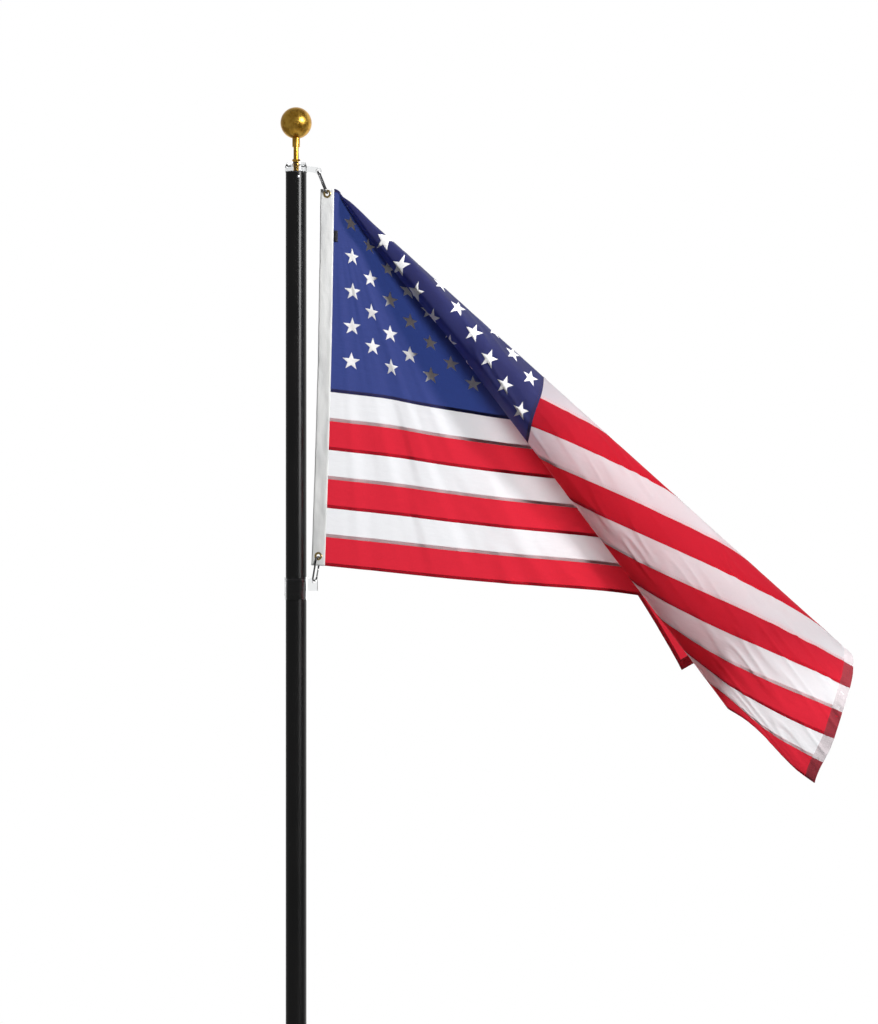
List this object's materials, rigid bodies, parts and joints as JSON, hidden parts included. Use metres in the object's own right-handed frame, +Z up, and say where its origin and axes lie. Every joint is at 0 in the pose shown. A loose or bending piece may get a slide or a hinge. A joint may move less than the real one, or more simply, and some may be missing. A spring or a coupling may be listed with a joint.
{
  "type": "flagpole",
  "caption": "Sectional black metal flagpole with a gold ball top, clear free-turning rings, snap clips and a folded stars-and-stripes cloth flag.",
  "frame": {"origin": "centre of the pole's flat foot at ground level", "axes": "+Z up the pole, +X along the flag's fly at rest, -Y toward the side that the picture shows"},
  "size_m": [1.3817, 0.4294, 5.3901],
  "materials": {
    "pole_black": "satin",
    "plug_dark": "matte",
    "screw_steel": "bright",
    "gold": "brushed gold",
    "clear": "clear moulded plastic",
    "clip_dark": "dark plated",
    "clip_bright": "bright",
    "brass": "polished",
    "canvas": "woven canvas",
    "cloth_blue": "woven nylon",
    "cloth_red": "woven nylon",
    "cloth_white": "woven nylon"
  },
  "bodies": {
    "pole": {"pole_section_1": "pole_black", "pole_section_2": "pole_black", "pole_section_3": "pole_black", "pole_section_4": "pole_black", "pole_section_5": "pole_black", "foot_plug": "plug_dark", "top_plug": "plug_dark", "plug_screw": "screw_steel", "finial_stem": "gold", "finial_nut": "gold", "finial_ball": "gold", "ring_stop": "clear"},
    "flag_set": {"top_ring": "clear", "lower_ring": "clear", "upper_clip_body": "clip_dark", "lower_clip_body": "clip_dark", "upper_grommet": "brass", "lower_grommet": "brass", "flag_header": "canvas", "flag_canton": "cloth_blue", "stripe_01": "cloth_red", "stripe_02": "cloth_white", "stripe_03": "cloth_red", "stripe_04": "cloth_white", "stripe_05": "cloth_red", "stripe_06": "cloth_white", "stripe_07": "cloth_red", "stripe_08": "cloth_white", "stripe_09": "cloth_red", "stripe_10": "cloth_white", "stripe_11": "cloth_red", "stripe_12": "cloth_white", "stripe_13": "cloth_red"},
    "upper_gate": {"upper_clip_gate": "clip_bright"},
    "lower_gate": {"lower_clip_gate": "clip_bright"}
  },
  "joints": [
    {"name": "flag_turn", "type": "hinge", "parent": "pole", "child": "flag_set", "pos_m": [0, 0, 5.23], "axis": [0, 0, 1], "continuous": true},
    {"name": "upper_gate_swing", "type": "hinge", "parent": "flag_set", "child": "upper_gate", "pos_m": [0.06251, -0.0062, 5.21979], "axis": [0.9215, 0, 0.3883], "range_deg": [0, 17], "stiffness_Nm_per_rad": 0.05, "springref_deg": -11.46},
    {"name": "lower_gate_swing", "type": "hinge", "parent": "flag_set", "child": "lower_gate", "pos_m": [0.0525, 0.00557, 4.24852], "axis": [0.8851, -0.4384, -0.1561], "range_deg": [0, 17], "stiffness_Nm_per_rad": 0.05, "springref_deg": -11.46}
  ]
}
